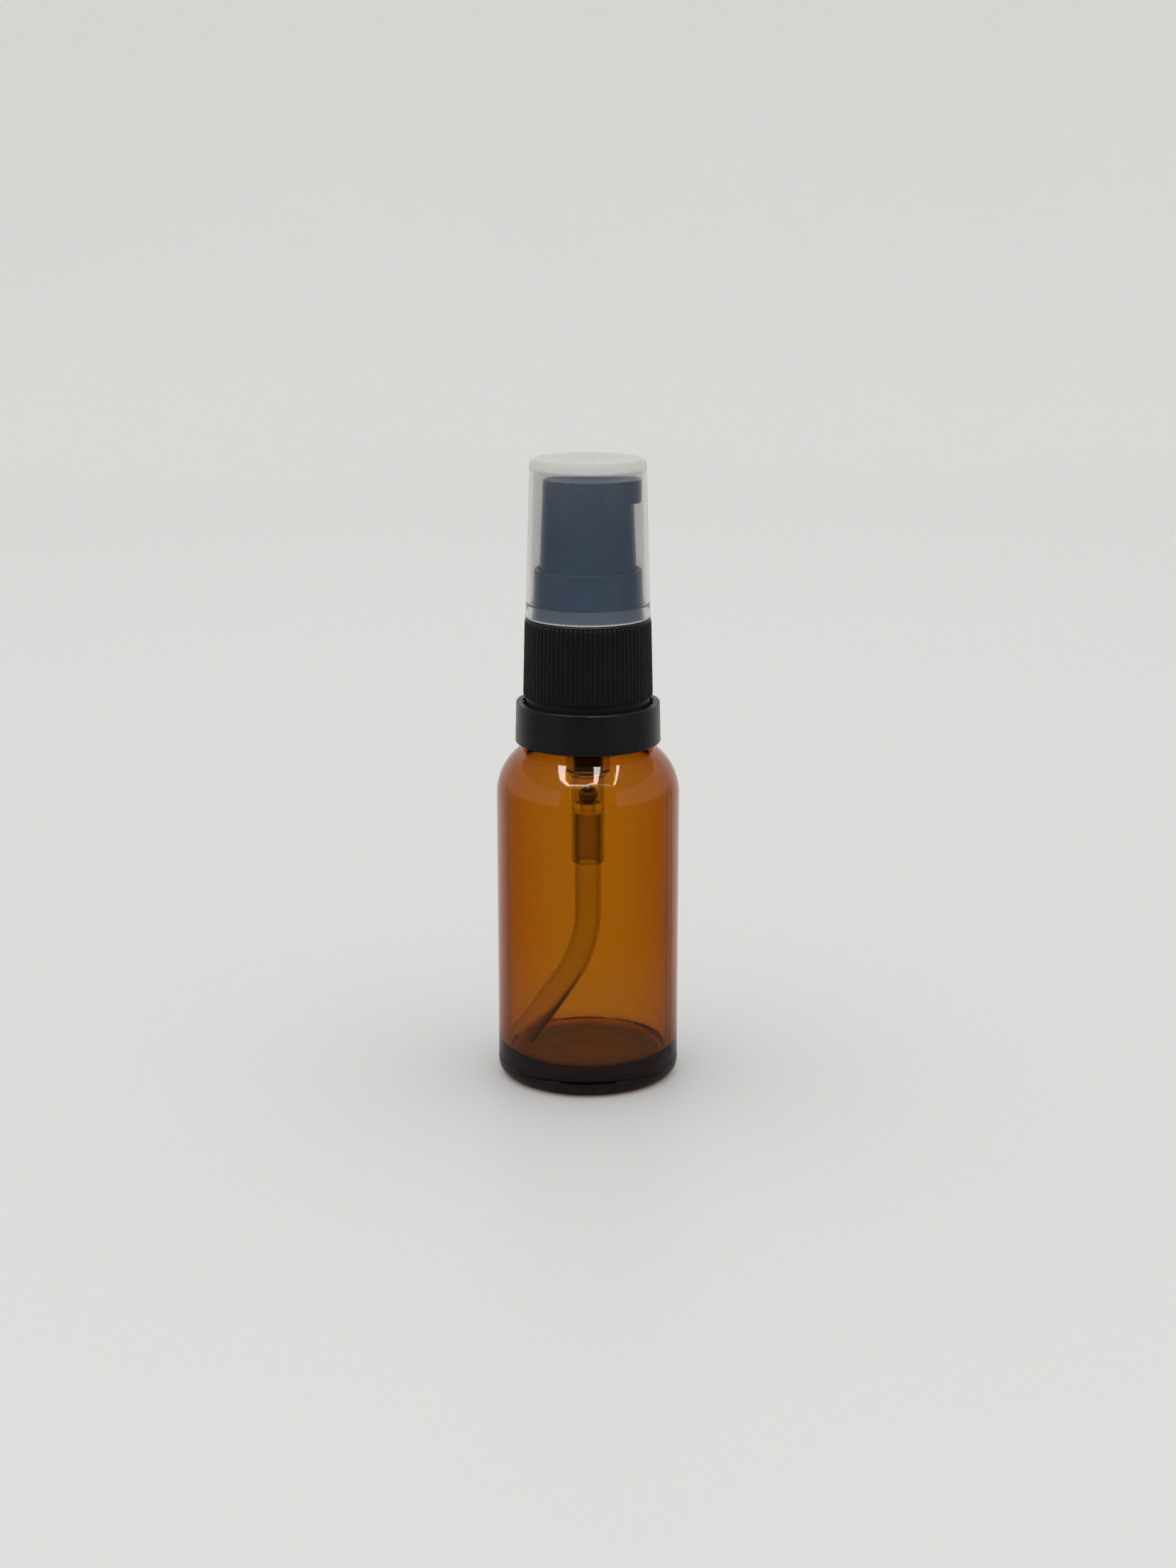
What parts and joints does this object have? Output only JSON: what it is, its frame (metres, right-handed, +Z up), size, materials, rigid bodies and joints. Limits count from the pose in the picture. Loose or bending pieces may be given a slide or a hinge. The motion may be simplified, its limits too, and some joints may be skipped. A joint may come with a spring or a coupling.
{
  "type": "pump spray bottle",
  "caption": "Small round amber glass bottle with a ribbed screw-on finger pump, a conical push button with a side nozzle, a dip tube and a clear push-on overcap.",
  "frame": {"origin": "centre of the bottle's base, on the surface that it stands on", "axes": "+Z up along the bottle's axis, +X the way the nozzle points at rest"},
  "size_m": [0.029, 0.029, 0.099],
  "materials": {
    "amber_glass": "smooth moulded amber glass",
    "black_closure": "satin black moulded polypropylene",
    "black_gloss": "semi-gloss black moulded polypropylene",
    "natural_plastic": "translucent natural polyolefin",
    "piston_plastic": "white low-density polyethylene",
    "gasket_foam": "closed-cell foam sheet",
    "ball_steel": "polished stainless steel",
    "spring_steel": "drawn stainless wire",
    "clear_cap": "clear moulded plastic with a faint haze"
  },
  "bodies": {
    "bottle": {"bottle": "amber_glass"},
    "tamper_ring": {"tamper_ring": "black_closure"},
    "pump": {"pump_housing": "natural_plastic", "stem_guide": "black_gloss", "guide_shroud": "black_gloss", "dip_tube": "natural_plastic", "valve_cage": "black_gloss", "neck_gasket": "gasket_foam", "return_spring": "spring_steel"},
    "collar": {"screw_collar": "black_closure"},
    "overcap": {"overcap": "clear_cap"},
    "plunger": {"stem": "natural_plastic", "piston_rod": "natural_plastic"},
    "button": {"actuator": "black_gloss", "nozzle_insert": "black_gloss"},
    "piston": {"piston": "piston_plastic"},
    "ball": {"inlet_ball": "ball_steel"}
  },
  "joints": [
    {"name": "collar_turn", "type": "hinge", "parent": "pump", "child": "collar", "pos_m": [0, 0, 0.066], "axis": [0, 0, 1], "range_deg": [0, 540]},
    {"name": "pump_lift", "type": "slide", "parent": "bottle", "child": "pump", "axis": [0, 0, 1], "range_m": [0, 0.0045]},
    {"name": "cap_lift", "type": "slide", "parent": "pump", "child": "overcap", "axis": [0, 0, 1], "range_m": [0, 0.03]},
    {"name": "actuator_press", "type": "slide", "parent": "pump", "child": "plunger", "axis": [0, 0, -1], "range_m": [0, 0.005], "stiffness_N_per_m": 800, "springref_m": -0.006, "deforming": ["return_spring"]},
    {"name": "actuator_turn", "type": "hinge", "parent": "plunger", "child": "button", "pos_m": [0, 0, 0.09], "axis": [0, 0, 1], "continuous": true},
    {"name": "piston_travel", "type": "slide", "parent": "pump", "child": "piston", "axis": [0, 0, -1], "range_m": [0, 0.0043]},
    {"name": "inlet_ball_lift", "type": "slide", "parent": "pump", "child": "ball", "axis": [0, 0, 1], "range_m": [0, 0.002]},
    {"name": "tamper_ring_turn", "type": "hinge", "parent": "bottle", "child": "tamper_ring", "pos_m": [0, 0, 0.058], "axis": [0, 0, 1], "continuous": true}
  ],
  "couplings": [
    {"joint": "collar_turn", "follows": "pump_lift", "rad_per_m": 2094.4},
    {"joint": "piston_travel", "follows": "actuator_press", "ratio": 0.84}
  ]
}
